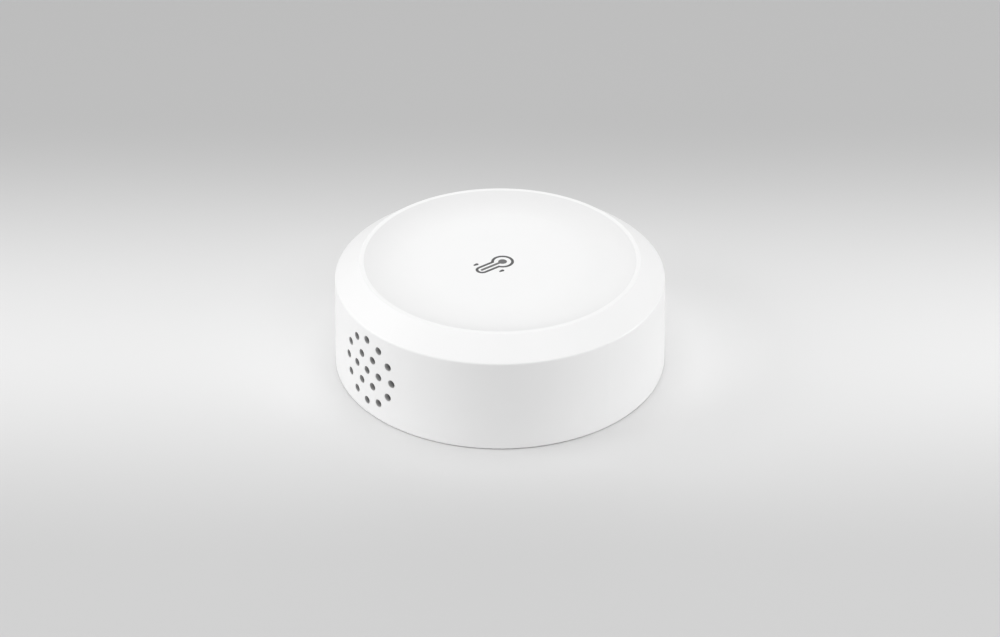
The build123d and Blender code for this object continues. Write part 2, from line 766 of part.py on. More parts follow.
# Upright sensor board between the chamber's rails, its chip facing the vents. Two slots beside
# the chip keep the warmth of the board away from it
with BuildPart() as sensor_board:
    with BuildSketch(Plane.XZ.offset(-sensor_back_y)):
        with Locations((0, tray_top_z)):
            Rectangle(sensor_board_width, sensor_top_z - tray_top_z,
                      align=(Align.CENTER, Align.MIN))
        with Locations((0, header_pin_z)):
            with GridLocations(header_pitch, 0, header_pin_count, 1):
                Circle(header_hole / 2, mode=Mode.SUBTRACT)
        slot_x = (chip_size + thermal_slot_width) / 2 + thermal_slot_gap
        with Locations((-slot_x, vent_z), (slot_x, vent_z)):
            SlotOverall(thermal_slot_length, thermal_slot_width, rotation=90, mode=Mode.SUBTRACT)
    extrude(amount=sensor_board_thickness)
sensor_board.part.label = "sensor_board"
export_step(sensor_board.part, "parts/sensor_board.step")

with BuildPart() as sensor_chip:
    with BuildSketch(Plane.XZ.offset(-sensor_front_y)):
        with Locations((0, vent_z)):
            Rectangle(chip_size, chip_size)
    extrude(amount=chip_thickness)
    with BuildSketch(Plane.XZ.offset(chip_thickness - sensor_front_y)):
        with Locations((0, vent_z)):
            Circle(chip_window / 2)
    extrude(amount=-chip_thickness / 2, mode=Mode.SUBTRACT)
sensor_chip.part.label = "sensor_chip"
export_step(sensor_chip.part, "parts/sensor_chip.step")


def bend_header_pins(mode):
    """Add or cut the bent pins: through the sensor board, then up through the main board."""
    half_pin = header_pin / 2
    tip_y = sensor_front_y - header_end
    tip_z = board_top_z + header_pin_proud
    for pin in range(header_pin_count):
        pin_x = (pin - (header_pin_count - 1) / 2) * header_pitch
        with BuildSketch(Plane.YZ.offset(pin_x - half_pin)) as bent_pin:
            with BuildLine():
                Polyline((tip_y, header_pin_z - half_pin),
                         (header_pin_y + half_pin, header_pin_z - half_pin),
                         (header_pin_y + half_pin, tip_z),
                         (header_pin_y - half_pin, tip_z),
                         (header_pin_y - half_pin, header_pin_z + half_pin),
                         (tip_y, header_pin_z + half_pin),
                         (tip_y, header_pin_z - half_pin))
            make_face()
        extrude(bent_pin.sketch, amount=header_pin, mode=mode)


# Right-angle header: four bent pins in a block below the main board
with BuildPart() as header_body:
    with BuildSketch(Plane.XY.offset(board_z - header_depth)):
        with Locations((0, sensor_back_y)):
            Rectangle(header_pin_count * header_pitch, header_depth,
                      align=(Align.CENTER, Align.MIN))
    extrude(amount=header_depth)
    bend_header_pins(Mode.SUBTRACT)
header_body.part.label = "header_body"
export_step(header_body.part, "parts/header_body.step")

with BuildPart() as header_pins:
    bend_header_pins(Mode.ADD)
header_pins.part.label = "header_pins"
export_step(header_pins.part, "parts/header_pins.step")

# Tact switch below the board, its stem, and the button cap that reaches through the tray
with BuildPart() as switch_body:
    with BuildSketch(Plane.XY.offset(switch_z)):
        with Locations((switch_x, switch_y)):
            RectangleRounded(switch_size, switch_size, switch_edge)
    extrude(amount=switch_height)
    chamfer(switch_body.faces().sort_by(Axis.Z)[0].edges(), length=switch_edge / 2)
    with BuildSketch(Plane.XY.offset(switch_z)):
        with Locations((switch_x, switch_y)):
            Circle(stem_diameter / 2 + stem_gap)
    extrude(amount=stem_seat + stem_seat_room, mode=Mode.SUBTRACT)
switch_body.part.label = "switch_body"
export_step(switch_body.part, "parts/switch_body.step")

with BuildPart() as switch_stem:
    with BuildSketch(Plane.XY.offset(stem_z)):
        with Locations((switch_x, switch_y)):
            Circle(stem_diameter / 2)
    extrude(amount=stem_length + stem_seat)
    chamfer(switch_stem.edges().sort_by(Axis.Z)[0], length=stem_gap * 4)
switch_stem.part.label = "switch_stem"
export_step(switch_stem.part, "parts/switch_stem.step")

with BuildPart() as pairing_button:
    with BuildSketch(Plane.XY.offset(button_z)):
        with Locations((switch_x, switch_y)):
            Circle(button_diameter / 2)
    extrude(amount=flange_z - button_z)
    fillet(pairing_button.edges().sort_by(Axis.Z)[0], radius=button_edge_radius)
    with BuildSketch(Plane.XY.offset(flange_z)):
        with Locations((switch_x, switch_y)):
            Circle(button_flange / 2)
    extrude(amount=button_flange_thickness)
    with BuildSketch(Plane.XY.offset(flange_z + button_flange_thickness)):
        with Locations((switch_x, switch_y)):
            Circle(button_neck / 2)
    extrude(amount=stem_z - flange_z - button_flange_thickness)
pairing_button.part.label = "pairing_button"
export_step(pairing_button.part, "parts/pairing_button.step")
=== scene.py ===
# %% [markdown]
# # Temperature humidity sensor
# A white moulded puck, 60 mm across, stands on a pale floor. Its lid has a shallow dish with a
# small printed thermometer, and a round field of vent holes opens in its side wall.
# The solid parts come from the CAD model, which is the fixed frame here. Blender adds the looks:
# a finish for every part, the printed and moulded signs, the floor, the lamps and the camera.

# %% Load the frame
import math

import bmesh
import bpy
from mathutils import Matrix, Vector


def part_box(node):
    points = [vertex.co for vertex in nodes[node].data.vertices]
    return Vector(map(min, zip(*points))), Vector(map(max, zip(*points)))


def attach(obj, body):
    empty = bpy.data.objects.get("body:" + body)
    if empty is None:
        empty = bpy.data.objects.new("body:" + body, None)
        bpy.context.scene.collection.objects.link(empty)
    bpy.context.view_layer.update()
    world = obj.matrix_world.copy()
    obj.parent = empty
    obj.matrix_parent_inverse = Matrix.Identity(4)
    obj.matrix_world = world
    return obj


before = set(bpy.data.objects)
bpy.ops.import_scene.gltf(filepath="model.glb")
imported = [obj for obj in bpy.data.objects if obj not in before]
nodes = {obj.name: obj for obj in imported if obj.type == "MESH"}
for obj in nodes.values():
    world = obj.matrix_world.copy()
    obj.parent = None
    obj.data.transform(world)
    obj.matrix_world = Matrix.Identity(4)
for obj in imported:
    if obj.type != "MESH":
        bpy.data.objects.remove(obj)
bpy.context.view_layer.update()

MM = 0.001

# %% [markdown]
# ## The camera
# The photograph looks down on the puck from 32.6 degrees, with the vents on the left. A long lens
# from 0.42 m keeps the round top close to a true ellipse, as product photographs do.

# %% Camera
VIEW_AZIMUTH = math.radians(51.1)
VIEW_ELEVATION = math.radians(32.6)
VIEW_DISTANCE = 0.42
VIEW_TARGET = Vector((0.0, 0.0, 7.73 * MM))
FOCAL_LENGTH = 81.98
SENSOR_WIDTH = 36.0


def direction(azimuth, elevation):
    """The way to a point seen at these angles (radians) from the origin; azimuth 0 is -Y."""
    return Vector((
        math.sin(azimuth) * math.cos(elevation),
        -math.cos(azimuth) * math.cos(elevation),
        math.sin(elevation),
    ))


toward_camera = direction(VIEW_AZIMUTH, VIEW_ELEVATION)
lens = bpy.data.cameras.new("camera")
lens.lens = FOCAL_LENGTH
lens.sensor_width = SENSOR_WIDTH
camera = bpy.data.objects.new("camera", lens)
camera.location = VIEW_TARGET + VIEW_DISTANCE * toward_camera
camera.rotation_euler = toward_camera.to_track_quat("Z", "Y").to_euler()
bpy.context.scene.collection.objects.link(camera)
bpy.context.scene.camera = camera
print("camera at, mm:", [round(c / MM, 1) for c in camera.location])

# %% [markdown]
# ## Shader maths as Python
# A finish is a network of nodes. Wiring Math nodes by hand hides the idea, so a small class wraps
# a socket and lets Python's own operators add the nodes: `1 - mask` or `grain * 0.3` read as maths.

# %% A socket that takes part in sums
class Field:
    """A value that varies over a surface: one socket of a material's node tree."""

    def __init__(self, tree, socket):
        self.tree = tree
        self.socket = socket

    def calc(self, operation, *terms):
        """Add one Math node and wrap its result."""
        node = self.tree.nodes.new("ShaderNodeMath")
        node.operation = operation
        for socket, term in zip(node.inputs, terms):
            plug(self.tree, socket, term)
        return Field(self.tree, node.outputs[0])

    def __add__(self, other):
        return self.calc("ADD", self, other)

    def __radd__(self, other):
        return self.calc("ADD", other, self)

    def __sub__(self, other):
        return self.calc("SUBTRACT", self, other)

    def __rsub__(self, other):
        return self.calc("SUBTRACT", other, self)

    def __mul__(self, other):
        return self.calc("MULTIPLY", self, other)

    def __rmul__(self, other):
        return self.calc("MULTIPLY", other, self)

    def __truediv__(self, other):
        return self.calc("DIVIDE", self, other)

    def __pow__(self, other):
        return self.calc("POWER", self, other)

    def __abs__(self):
        return self.calc("ABSOLUTE", self)

    def root(self):
        """The square root."""
        return self.calc("SQRT", self)

    def at_least(self, low):
        return self.calc("MAXIMUM", self, low)

    def at_most(self, high):
        return self.calc("MINIMUM", self, high)

    def bounce(self, size):
        """Climb from 0 to size and back again, over and over: evenly spaced lines."""
        return self.calc("PINGPONG", self, size)

    def fade(self, low, high):
        """0 below low, 1 above high, and a soft step between; low may be the larger one."""
        node = self.tree.nodes.new("ShaderNodeMapRange")
        node.interpolation_type = "SMOOTHSTEP"
        plug(self.tree, node.inputs["Value"], self)
        node.inputs["From Min"].default_value = low
        node.inputs["From Max"].default_value = high
        return Field(self.tree, node.outputs[0])


def plug(tree, socket, value):
    """Link a field to the socket, or set a plain number or colour on it."""
    if isinstance(value, Field):
        tree.links.new(value.socket, socket)
    else:
        socket.default_value = value


# %% [markdown]
# ## One class for all finishes
# Every finish starts from the Principled shader. Numbers that are the same all over are set on its
# own sockets. What varies goes through fields, and all the fine relief ends in one Bump node.
# The patterns read object coordinates, which are metres in the part's own frame, so a grain of
# 0.2 mm is a noise of scale 1 / 0.2 mm, and it stays with its piece when the piece moves.

# %% A finish
def grey(level):
    """A neutral colour, given as linear light."""
    return (level, level, level, 1.0)


class Finish:
    """A material under construction."""

    def __init__(self, name, constants=None):
        self.material = bpy.data.materials.new(name)
        self.material.use_nodes = True
        self.tree = self.material.node_tree
        self.shader = self.tree.nodes["Principled BSDF"]
        self.place = self.node("TexCoord", out="Object")
        for socket, value in (constants or {}).items():
            self.feed(socket, value)

    def feed(self, socket, value):
        """Give one socket of the shader its value."""
        plug(self.tree, self.shader.inputs[socket], value)

    def node(self, kind, settings=None, sockets=None, out=0):
        """Add any node: its settings first, then the values or links of its sockets."""
        node = self.tree.nodes.new("ShaderNode" + kind)
        for name, value in (settings or {}).items():
            setattr(node, name, value)
        for name, value in (sockets or {}).items():
            plug(self.tree, node.inputs[name], value)
        return Field(self.tree, node.outputs[out])

    def axis(self, letter):
        """The surface's place along X, Y or Z, in metres."""
        return self.node("SeparateXYZ", sockets={0: self.place}, out=letter)

    def facing(self, letter):
        """How far the surface faces along an axis, from -1 to 1."""
        normal = self.node("TexCoord", out="Normal")
        return self.node("SeparateXYZ", sockets={0: normal}, out=letter)

    def noise(self, size, detail=2.0, stretch=(1.0, 1.0, 1.0)):
        """Clouds of about this size (metres), from 0 to 1; stretch draws them out along an axis."""
        drawn = self.node("Mapping", sockets={
            "Vector": self.place, "Scale": tuple(1.0 / s for s in stretch)})
        return self.node("TexNoise", sockets={
            "Vector": drawn, "Scale": 1.0 / size, "Detail": detail})

    def blend(self, mask, first, second):
        """The first colour where the mask is 0, the second where it is 1."""
        return self.node("Mix", {"data_type": "RGBA"}, {0: mask, 6: first, 7: second}, out=2)

    def relief(self, height):
        """Raise the surface by a height in metres."""
        self.feed("Normal", self.node("Bump", sockets={
            "Height": height, "Distance": 1.0, "Strength": 1.0}))

    def put_on(self, *names):
        """Give this finish to CAD nodes."""
        for name in names:
            mesh = nodes[name].data
            for slot in range(len(mesh.materials)):
                mesh.materials[slot] = self.material
        print(self.material.name, "on", ", ".join(names))


# %% [markdown]
# ## Moulded white plastic
# The lid is injection-moulded in bright white. The steel mould is spark-eroded, which prints a
# fine dull grain on the plastic, about 0.16 mm across and 2 micrometres high. It is what keeps
# the highlights broad. A whisper of cloudiness in the tone stands for the flow of the melt.

# %% A moulded finish
def moulded(name, light, dark, roughness, grain=0.16 * MM, height=0.002 * MM):
    """Textured injection-moulded plastic."""
    finish = Finish(name)
    melt = finish.noise(5 * MM, detail=3.0)
    finish.tone = finish.blend(melt, dark, light)
    finish.feed("Base Color", finish.tone)
    sparks = finish.noise(grain)
    finish.feed("Roughness", roughness - 0.04 + 0.08 * sparks)
    finish.relief(sparks * height)
    return finish


# %% [markdown]
# ## The lid
# Two places on the lid differ from plain white, both by painted shade. The bores of the vents are
# painted darker with their depth below the outer face, as shade that deepens into them. That
# face leans out by 0.55 mm from the shoulder to the rim. The mask keeps to the height of the vents
# and leaves out what faces along Y, which the wall's inner face does and the bores don't.
# The dish is painted darker towards its edge, all the way round: painted shade in its hollow.

# %% Lid
LIP_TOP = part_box("top_shell")[1].z
SHOULDER_TOP = LIP_TOP - 3.34 * MM
SHOULDER_RADIUS = 30.0 * MM
WALL_LEAN = 0.55 / 17.46
RIM_TOP = 1.0 * MM
DISH_TOP = LIP_TOP - 1.15 * MM
DISH_RADIUS = 24.7 * MM
DISH_SHADE_START = 12.0 * MM
EDGE = 0.03 * MM

lid_white = moulded("lid_white", grey(0.885), grey(0.87), 0.40)
across, along, height = (lid_white.axis(letter) for letter in "XYZ")
radius = (across * across + along * along).root()

depth = SHOULDER_RADIUS + WALL_LEAN * (SHOULDER_TOP - height) - radius
vent_side = along.fade(-24.0 * MM, -26.0 * MM)
vent_height = height.fade(RIM_TOP, RIM_TOP + 0.4 * MM) * height.fade(
    SHOULDER_TOP - 0.4 * MM, SHOULDER_TOP - 0.8 * MM)
across_the_wall = abs(lid_white.facing("Y")).fade(0.9, 0.8)
# Painted shade: the bores are painted darker the deeper they go below the outer face.
bore_shade_mask = depth.fade(EDGE, 4 * EDGE) * vent_side * vent_height * across_the_wall
bore_painted_shade = lid_white.blend(depth.fade(0.2 * MM, 1.1 * MM), grey(0.58), grey(0.24))

# Painted shade: the dish is painted darker towards its edge.
towards_edge = ((radius - DISH_SHADE_START) / (DISH_RADIUS - DISH_SHADE_START)).at_least(0.0) ** 2.0
in_dish = radius.fade(DISH_RADIUS + EDGE, DISH_RADIUS - EDGE) * height.fade(
    DISH_TOP - 0.4 * MM, DISH_TOP - 0.3 * MM)
dish_painted_shade = lid_white.blend(0.10 * towards_edge * in_dish, lid_white.tone, grey(0.0))
lid_white.feed("Base Color", lid_white.blend(bore_shade_mask, dish_painted_shade, bore_painted_shade))
lid_white.put_on("top_shell")

# %% [markdown]
# ## The other plastics
# The base disc is the same white from another mould. The inner tray is a light grey that shows
# what comes out with it, and the pairing button is darker so that a finger finds it. Black nylon
# takes the heat of soldering in the pin header and the switch.

# %% Base, tray, button and black nylon
moulded("base_white", grey(0.86), grey(0.84), 0.42).put_on("base_cover")
moulded("tray_grey", grey(0.60), grey(0.57), 0.48, grain=0.25 * MM).put_on("battery_tray")
moulded("button_grey", grey(0.28), grey(0.25), 0.42).put_on("pairing_button")
moulded("black_nylon", grey(0.03), grey(0.02), 0.5, grain=0.08 * MM).put_on(
    "header_body", "switch_body", "switch_stem")

# %% [markdown]
# ## Rubber and foam
# The feet are soft silicone rubber: no sharp highlight, and a little dust held in the grain.
# The foam strips are open cells, so a Voronoi texture makes the pores: distance from a cell's
# middle is the height, and the pores' floors are painted darker, as painted shade.

# %% Rubber feet and foam strips
rubber = Finish("foot_rubber", {"Sheen Weight": 0.15, "Specular IOR Level": 0.35})
dust = rubber.noise(1.5 * MM, detail=4.0).fade(0.45, 0.75)
rubber.feed("Base Color", rubber.blend(dust, grey(0.42), grey(0.50)))
rubber.feed("Roughness", 0.7 + 0.15 * dust)
rubber.relief(rubber.noise(0.2 * MM) * 0.004 * MM)
rubber.put_on("foot_pads")

foam = Finish("foam_grey", {"Specular IOR Level": 0.2})
pores = foam.node("TexVoronoi", sockets={"Vector": foam.place, "Scale": 1.0 / (0.45 * MM)})
# Painted shade: the floors of the pores are darker.
foam.feed("Base Color", foam.blend(pores.fade(0.1, 0.6), grey(0.02), grey(0.09)))
foam.feed("Roughness", 0.95 - 0.1 * pores)
foam.relief(pores * 0.12 * MM)
foam.put_on("battery_foam")

# %% [markdown]
# ## Metals
# Stamped and drawn parts keep fine scratches along the way the metal moved, so the noise is drawn
# out along one axis. Screws are zinc plated and slightly mottled, contacts and springs are nickel,
# the shield is tinned sheet and the header pins are gold-flashed brass.

# %% Metals
def plated(name, bright, dull, roughness, stretch=(1.0, 1.0, 1.0)):
    """Bare or plated metal with drawn-out scratches."""
    finish = Finish(name, {"Metallic": 1.0})
    scratches = finish.noise(0.12 * MM, detail=3.0, stretch=stretch)
    stain = finish.noise(2.5 * MM, detail=4.0)
    finish.feed("Base Color", finish.blend(stain, dull, bright))
    finish.feed("Roughness", roughness + 0.15 * (scratches - 0.5) + 0.12 * stain)
    finish.relief(scratches * 0.0015 * MM)
    return finish


plated("zinc_plate", (0.72, 0.74, 0.76, 1.0), grey(0.58), 0.28).put_on(
    "tray_screws", "board_screws")
plated("nickel_sheet", (0.76, 0.73, 0.68, 1.0), (0.66, 0.63, 0.58, 1.0), 0.24,
       stretch=(1.0, 1.0, 12.0)).put_on("positive_contact", "negative_contact", "bridge_contact")
plated("nickel_wire", (0.74, 0.72, 0.68, 1.0), (0.60, 0.58, 0.54, 1.0), 0.2).put_on(
    "negative_spring", "bridge_spring")
plated("tinned_sheet", (0.78, 0.79, 0.80, 1.0), (0.68, 0.69, 0.70, 1.0), 0.3,
       stretch=(10.0, 1.0, 1.0)).put_on("radio_shield")
plated("gold_flash", (0.90, 0.68, 0.33, 1.0), (0.80, 0.56, 0.25, 1.0), 0.22).put_on(
    "header_pins")

# %% [markdown]
# ## Circuit boards
# A board is glass cloth under a thin coloured lacquer. Nearly all of it is one sheet of copper,
# which lightens the lacquer. Tracks run through that sheet between two narrow bare gaps, where
# the lacquer looks darker. A ping-pong of the place along an axis gives evenly spaced lines, and a
# cloud decides where they run across, where they run along and where there are none. Tinned
# through-holes come from a Voronoi texture, and the sawn rim is bare laminate, which is found by
# the way it faces.

# %% Circuit boards
TRACK_PITCH = 0.6 * MM
HOLE_PITCH = 2.6 * MM


def bare_gaps(finish, letter):
    """The bare gaps beside the tracks that are spaced along one axis."""
    place = finish.axis(letter).bounce(TRACK_PITCH)
    return place.fade(0.30 * TRACK_PITCH, 0.34 * TRACK_PITCH) * place.fade(
        0.52 * TRACK_PITCH, 0.48 * TRACK_PITCH)


def circuit_board(name, lacquer, over_copper, across, along, facing):
    """Solder mask over tracks; across and along are the board's own axes, facing is its normal."""
    finish = Finish(name, {"Coat Weight": 0.4, "Coat Roughness": 0.15})
    turned = finish.noise(7 * MM, detail=0.0).fade(0.49, 0.50)
    plain = finish.noise(5 * MM, detail=0.0).fade(0.52, 0.53)
    gaps = bare_gaps(finish, across) * turned + bare_gaps(finish, along) * (1 - turned)
    copper = 1 - gaps * (1 - plain)
    dots = finish.node("TexVoronoi", sockets={"Vector": finish.place, "Scale": 1.0 / HOLE_PITCH})
    hole = dots.fade(0.11, 0.09) * finish.noise(8 * MM, detail=0.0).fade(0.50, 0.52)
    face = abs(finish.facing(facing)).fade(0.5, 0.7)
    lacquered = finish.blend(copper, lacquer, over_copper)
    mask = finish.blend(hole, lacquered, (0.45, 0.44, 0.40, 1.0))
    weave = finish.noise(0.3 * MM)
    laminate = finish.blend(weave, (0.42, 0.36, 0.20, 1.0), (0.55, 0.48, 0.30, 1.0))
    finish.feed("Base Color", finish.blend(face, laminate, mask))
    finish.feed("Roughness", 0.65 - 0.35 * face + 0.05 * weave)
    finish.relief(copper * 0.02 * MM)
    return finish


GREEN = ((0.010, 0.085, 0.030, 1.0), (0.016, 0.150, 0.048, 1.0))
BLUE = ((0.008, 0.025, 0.085, 1.0), (0.014, 0.045, 0.150, 1.0))
circuit_board("board_green", *GREEN, "X", "Y", "Z").put_on("main_board")
circuit_board("sensor_green", *GREEN, "X", "Z", "Y").put_on("sensor_board")
circuit_board("radio_blue", *BLUE, "X", "Y", "Z").put_on("radio_module")

# %% [markdown]
# ## Chips, capacitor and light
# Chips are black epoxy with a sandy skin. The capacitor is ochre epoxy with a dark band at its
# positive end. The status light is a milky resin over its die, and the clear guide above it
# carries the glow up to the thin skin of the dish, so it lets light through.

# %% Chips, capacitor, light and guide
moulded("chip_epoxy", grey(0.035), grey(0.022), 0.55, grain=0.1 * MM).put_on(
    "board_chips", "sensor_chip")

POLE_BAND_START = 12.75 * MM
capacitor = Finish("capacitor_epoxy")
band = capacitor.axis("X").fade(POLE_BAND_START, POLE_BAND_START + 0.1 * MM)
speckle = capacitor.noise(0.25 * MM, detail=3.0)
ochre = capacitor.blend(speckle, (0.50, 0.27, 0.05, 1.0), (0.62, 0.36, 0.08, 1.0))
capacitor.feed("Base Color", capacitor.blend(band, ochre, (0.10, 0.05, 0.02, 1.0)))
capacitor.feed("Roughness", 0.35 + 0.15 * speckle)
capacitor.relief(speckle * 0.004 * MM)
capacitor.put_on("board_capacitor")

light_resin = Finish("light_resin", {
    "Subsurface Weight": 0.3, "Subsurface Radius": (0.5 * MM,) * 3})
die = abs(light_resin.axis("X")).fade(0.9 * MM, 0.3 * MM) * abs(
    light_resin.axis("Y")).fade(0.7 * MM, 0.2 * MM)
light_resin.feed("Base Color", light_resin.blend(die, grey(0.80), (0.85, 0.62, 0.12, 1.0)))
light_resin.feed("Roughness", 0.2 + 0.1 * light_resin.noise(0.3 * MM))
light_resin.put_on("indicator_led")

clear_guide = Finish("clear_guide", {"Transmission Weight": 0.9, "IOR": 1.49})
frost = clear_guide.noise(0.2 * MM, detail=3.0)
clear_guide.feed("Base Color", clear_guide.blend(frost, grey(0.90), grey(0.96)))
clear_guide.feed("Roughness", 0.05 + 0.15 * frost)
clear_guide.put_on("light_guide")

# %% [markdown]
# ## Battery cells
# Each cell is a steel can in a printed plastic sleeve, shrunk over the shoulders. The bare ends
# and the positive nub stay metal, so Metallic and the colour both follow the place along the cell.
# The two cells lie head to tail, so one recipe takes the direction of the nub.

# %% Battery cells
BARE_END_RADIUS = 4.3 * MM
PALE_BAND_START = 11.0 * MM
HAIRLINE_START = 10.2 * MM
HAIRLINE_END = 10.75 * MM
PRINT_EDGE = 0.05 * MM


def cell_sleeve(name, cell, nub_side):
    """Printed sleeve and bare ends of one cell; nub_side is 1 or -1 along X."""
    middle = sum(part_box(cell), Vector()) / 2
    finish = Finish(name, {"Coat Roughness": 0.12})
    toward_nub = finish.axis("X") * nub_side
    off_axis = finish.axis("Y") - middle.y
    height = finish.axis("Z") - middle.z
    radius = (off_axis * off_axis + height * height).root()
    sleeve = radius.fade(BARE_END_RADIUS, BARE_END_RADIUS + 2 * PRINT_EDGE)
    band = toward_nub.fade(PALE_BAND_START, PALE_BAND_START + 2 * PRINT_EDGE)
    hairline = toward_nub.fade(HAIRLINE_START, HAIRLINE_START + PRINT_EDGE) * toward_nub.fade(
        HAIRLINE_END, HAIRLINE_END - PRINT_EDGE)
    foil = finish.noise(0.1 * MM, detail=2.0, stretch=(8.0, 1.0, 1.0))
    body = finish.blend(foil, (0.03, 0.05, 0.09, 1.0), (0.05, 0.08, 0.13, 1.0))
    pale = finish.blend(foil, grey(0.55), grey(0.62))
    printed = finish.blend(hairline, finish.blend(band, body, pale), grey(0.75))
    finish.feed("Base Color", finish.blend(sleeve, grey(0.66), printed))
    finish.feed("Metallic", 1.0 - 0.6 * sleeve)
    finish.feed("Roughness", 0.26 + 0.08 * foil)
    finish.feed("Coat Weight", 0.5 * sleeve)
    finish.relief(foil * 0.0015 * MM)
    finish.put_on(cell)


cell_sleeve("sleeve_a", "battery_a", 1.0)
cell_sleeve("sleeve_b", "battery_b", -1.0)

# %% [markdown]
# ## Flat signs
# Printed and moulded signs are thin plates with crisp outlines. Tracing one would need a long
# list of points. Here each outline is two arcs joined by straight lines: a vertex is spun about
# a centre, and the closed loop is filled. An inset of the filled face then gives a line of even
# width, just as a pen draws it. Everything is drawn in millimetres and scaled at the end.
# Faces that share an edge are welded before they get their thickness, so no wall is left inside.

# %% Drawing helpers
WELD = 1e-4


def arc(shape, centre, radius, start, sweep, steps=40):
    """Spin one vertex about a centre (mm and degrees). Returns the arc's first and last vertex."""
    angle = math.radians(start)
    first = shape.verts.new((
        centre[0] + radius * math.cos(angle), centre[1] + radius * math.sin(angle), 0.0))
    spun = bmesh.ops.spin(
        shape, geom=[first], cent=(centre[0], centre[1], 0.0), axis=(0.0, 0.0, 1.0),
        angle=math.radians(sweep), steps=steps)
    last = next(e for e in spun["geom_last"] if isinstance(e, bmesh.types.BMVert))
    return first, last


def outline(shape, *arcs):
    """Join arcs end to end and fill the loop. Returns the one face."""
    old = set(shape.edges)
    ends = [arc(shape, *each) for each in arcs]
    for (_, last), (first, _) in zip(ends, ends[1:] + ends[:1]):
        shape.edges.new((last, first))
    loop = [edge for edge in shape.edges if edge not in old]
    return bmesh.ops.contextual_create(shape, geom=loop)["faces"][0]


def pen_line(shape, face, width):
    """Keep only a line of this width along the inside of the face's edge."""
    bmesh.ops.inset_region(
        shape, faces=[face], thickness=width, use_boundary=True, use_even_offset=True)
    bmesh.ops.delete(shape, geom=[face], context="FACES")


def plate(shape, thickness):
    """Weld flat faces that share an edge, and give them all a thickness upwards."""
    bmesh.ops.remove_doubles(shape, verts=shape.verts, dist=WELD)
    lifted = bmesh.ops.extrude_face_region(shape, geom=shape.faces[:], use_keep_orig=True)["geom"]
    bmesh.ops.translate(shape, vec=(0.0, 0.0, thickness), verts=[
        v for v in lifted if isinstance(v, bmesh.types.BMVert)])


def finished(shape, name, finish, body):
    """Scale a drawing to metres and turn it into a piece that rides on a body."""
    bmesh.ops.recalc_face_normals(shape, faces=shape.faces)
    bmesh.ops.scale(shape, vec=(MM, MM, MM), verts=shape.verts)
    mesh = bpy.data.meshes.new(name)
    shape.to_mesh(mesh)
    shape.free()
    mesh.materials.append(finish.material)
    piece = bpy.data.objects.new(name, mesh)
    bpy.context.scene.collection.objects.link(piece)
    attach(piece, body)
    print(name, len(mesh.polygons), "faces, mm:", [round(d / MM, 2) for d in piece.dimensions])


# %% [markdown]
# ## The printed thermometer
# Pad printing lays a 10 to 20 micrometre film of grey ink on the flat middle of the dish. The
# sign is a bulb and stem drawn as a line, a filled dot with its column inside, and two small
# drops beside the stem. The stem points at the vents. The pad never lands quite true, so the
# print sits a hair off the middle and under a degree askew. The ink is satin and a little uneven.

# %% Printed thermometer
INK_FILM = 0.015
INK_SUNK = 0.002
BULB_CENTRE = (0.0, 0.67)
LINE_WIDTH = 0.5
ASKEW = Matrix.Rotation(math.radians(-0.8), 3, "Z")
OFF_MIDDLE = Vector((-0.04, -0.05, 0.0))


def keyhole(shape, bulb_radius, stem_radius, stem_end):
    """A disc with a round-ended stem: the outline of a thermometer."""
    neck = math.degrees(math.asin(stem_radius / bulb_radius))
    return outline(
        shape,
        (BULB_CENTRE, bulb_radius, neck - 90.0, 360.0 - 2.0 * neck, 64),
        ((0.0, stem_end), stem_radius, 180.0, 180.0),
    )


def drop(shape, centre, fat=0.33, thin=0.21, reach=0.52):
    """A short stroke that is fatter towards the bulb."""
    x, y = centre
    return outline(
        shape,
        ((x, y + reach - fat), fat, 0.0, 180.0, 16),
        ((x, y - reach + thin), thin, 180.0, 180.0, 16),
    )


def ink(name, light, dark):
    """Satin pad-printing ink, a little uneven."""
    finish = Finish(name)
    film = finish.noise(0.3 * MM, detail=3.0)
    finish.feed("Base Color", finish.blend(film, dark, light))
    finish.feed("Roughness", 0.45 + 0.15 * film)
    finish.relief(film * 0.003 * MM)
    return finish


line_ink = ink("line_ink", grey(0.080), grey(0.065))
dot_ink = ink("dot_ink", grey(0.14), grey(0.12))
stem_sign = bmesh.new()
pen_line(stem_sign, keyhole(stem_sign, 2.07, 1.2, -3.99), LINE_WIDTH)
drop(stem_sign, (-2.12, -3.81))
drop(stem_sign, (2.44, -1.45))
column = bmesh.new()
keyhole(column, 0.79, 0.27, -4.04)
on_dish = OFF_MIDDLE + Vector((0.0, 0.0, DISH_TOP / MM - INK_SUNK))
for sign, name, finish in (
        (stem_sign, "printed_thermometer", line_ink), (column, "printed_column", dot_ink)):
    plate(sign, INK_FILM)
    bmesh.ops.rotate(sign, cent=(0.0, 0.0, 0.0), matrix=ASKEW, verts=sign.verts)
    bmesh.ops.translate(sign, vec=on_dish, verts=sign.verts)
    finished(sign, name, finish, "housing")

# %% [markdown]
# ## Signs under the base
# Whoever changes the cells turns the puck over. The base shows which way to turn it: a curved
# arrow from a closed padlock to an open one, moulded 0.15 mm proud around the coin slot. The
# strokes are spun edges, so that each band keeps one width, and the parts of a sign only touch.

# %% Turn signs
SIGN_RADIUS = 14.5
SIGN_RISE = 0.15
SIGN_ROOT = 0.1
ARROW_START = 253.0
ARROW_SWEEP = 35.0
ARROW_HEAD = 1.1
SHACKLE_RADIUS = 0.65
SHACKLE_WIDTH = 0.35
SHACKLE_LIFT = 0.6
CORNER_X = 0.9
CORNER_Y = 0.6
CORNER_RADIUS = 0.3
BODY_TOP = CORNER_Y + CORNER_RADIUS


